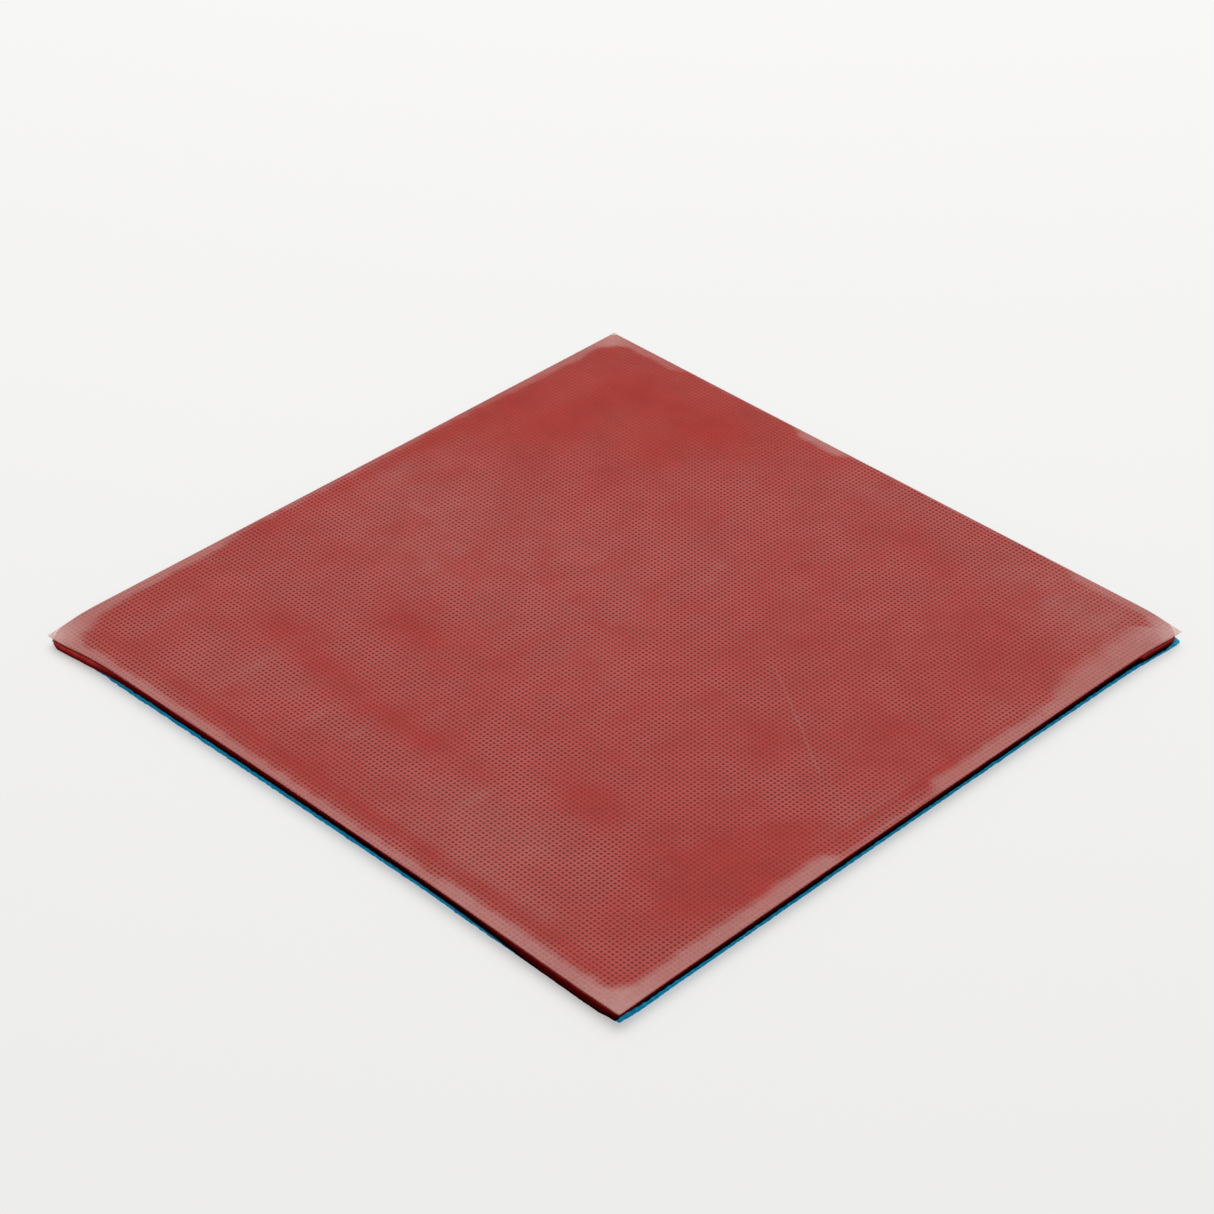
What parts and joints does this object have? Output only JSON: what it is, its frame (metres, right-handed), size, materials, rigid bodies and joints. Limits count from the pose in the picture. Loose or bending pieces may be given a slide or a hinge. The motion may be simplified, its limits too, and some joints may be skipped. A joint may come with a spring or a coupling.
{
  "type": "table tennis rubber",
  "caption": "Square sheet of inverted sandwich rubber for a table tennis blade: red topsheet with inward pimples on blue sponge, under a clear film.",
  "frame": {"origin": "centre of the sponge's underside, the face that is glued to the blade", "axes": "+Z out of the playing surface; the sheet's sides run along X and Y"},
  "size_m": [0.17, 0.17, 0.0031],
  "materials": {
    "clear_film": "clear, finely embossed release film, hazy where it doesn't touch the rubber",
    "red_rubber": "smooth, slightly glossy moulded natural rubber",
    "dry_cement": "thin dark coat of dried rubber cement",
    "blue_sponge": "closed-cell foam rubber with a fine grain, its edges cut with a blade"
  },
  "bodies": {
    "pad": {"sponge": "blue_sponge", "cement_layer": "dry_cement", "topsheet": "red_rubber"},
    "film": {"protective_film": "clear_film"}
  },
  "joints": [
    {"name": "film_lift", "type": "slide", "parent": "pad", "child": "film", "axis": [0, 0, 1], "range_m": [0, 0.03]}
  ]
}
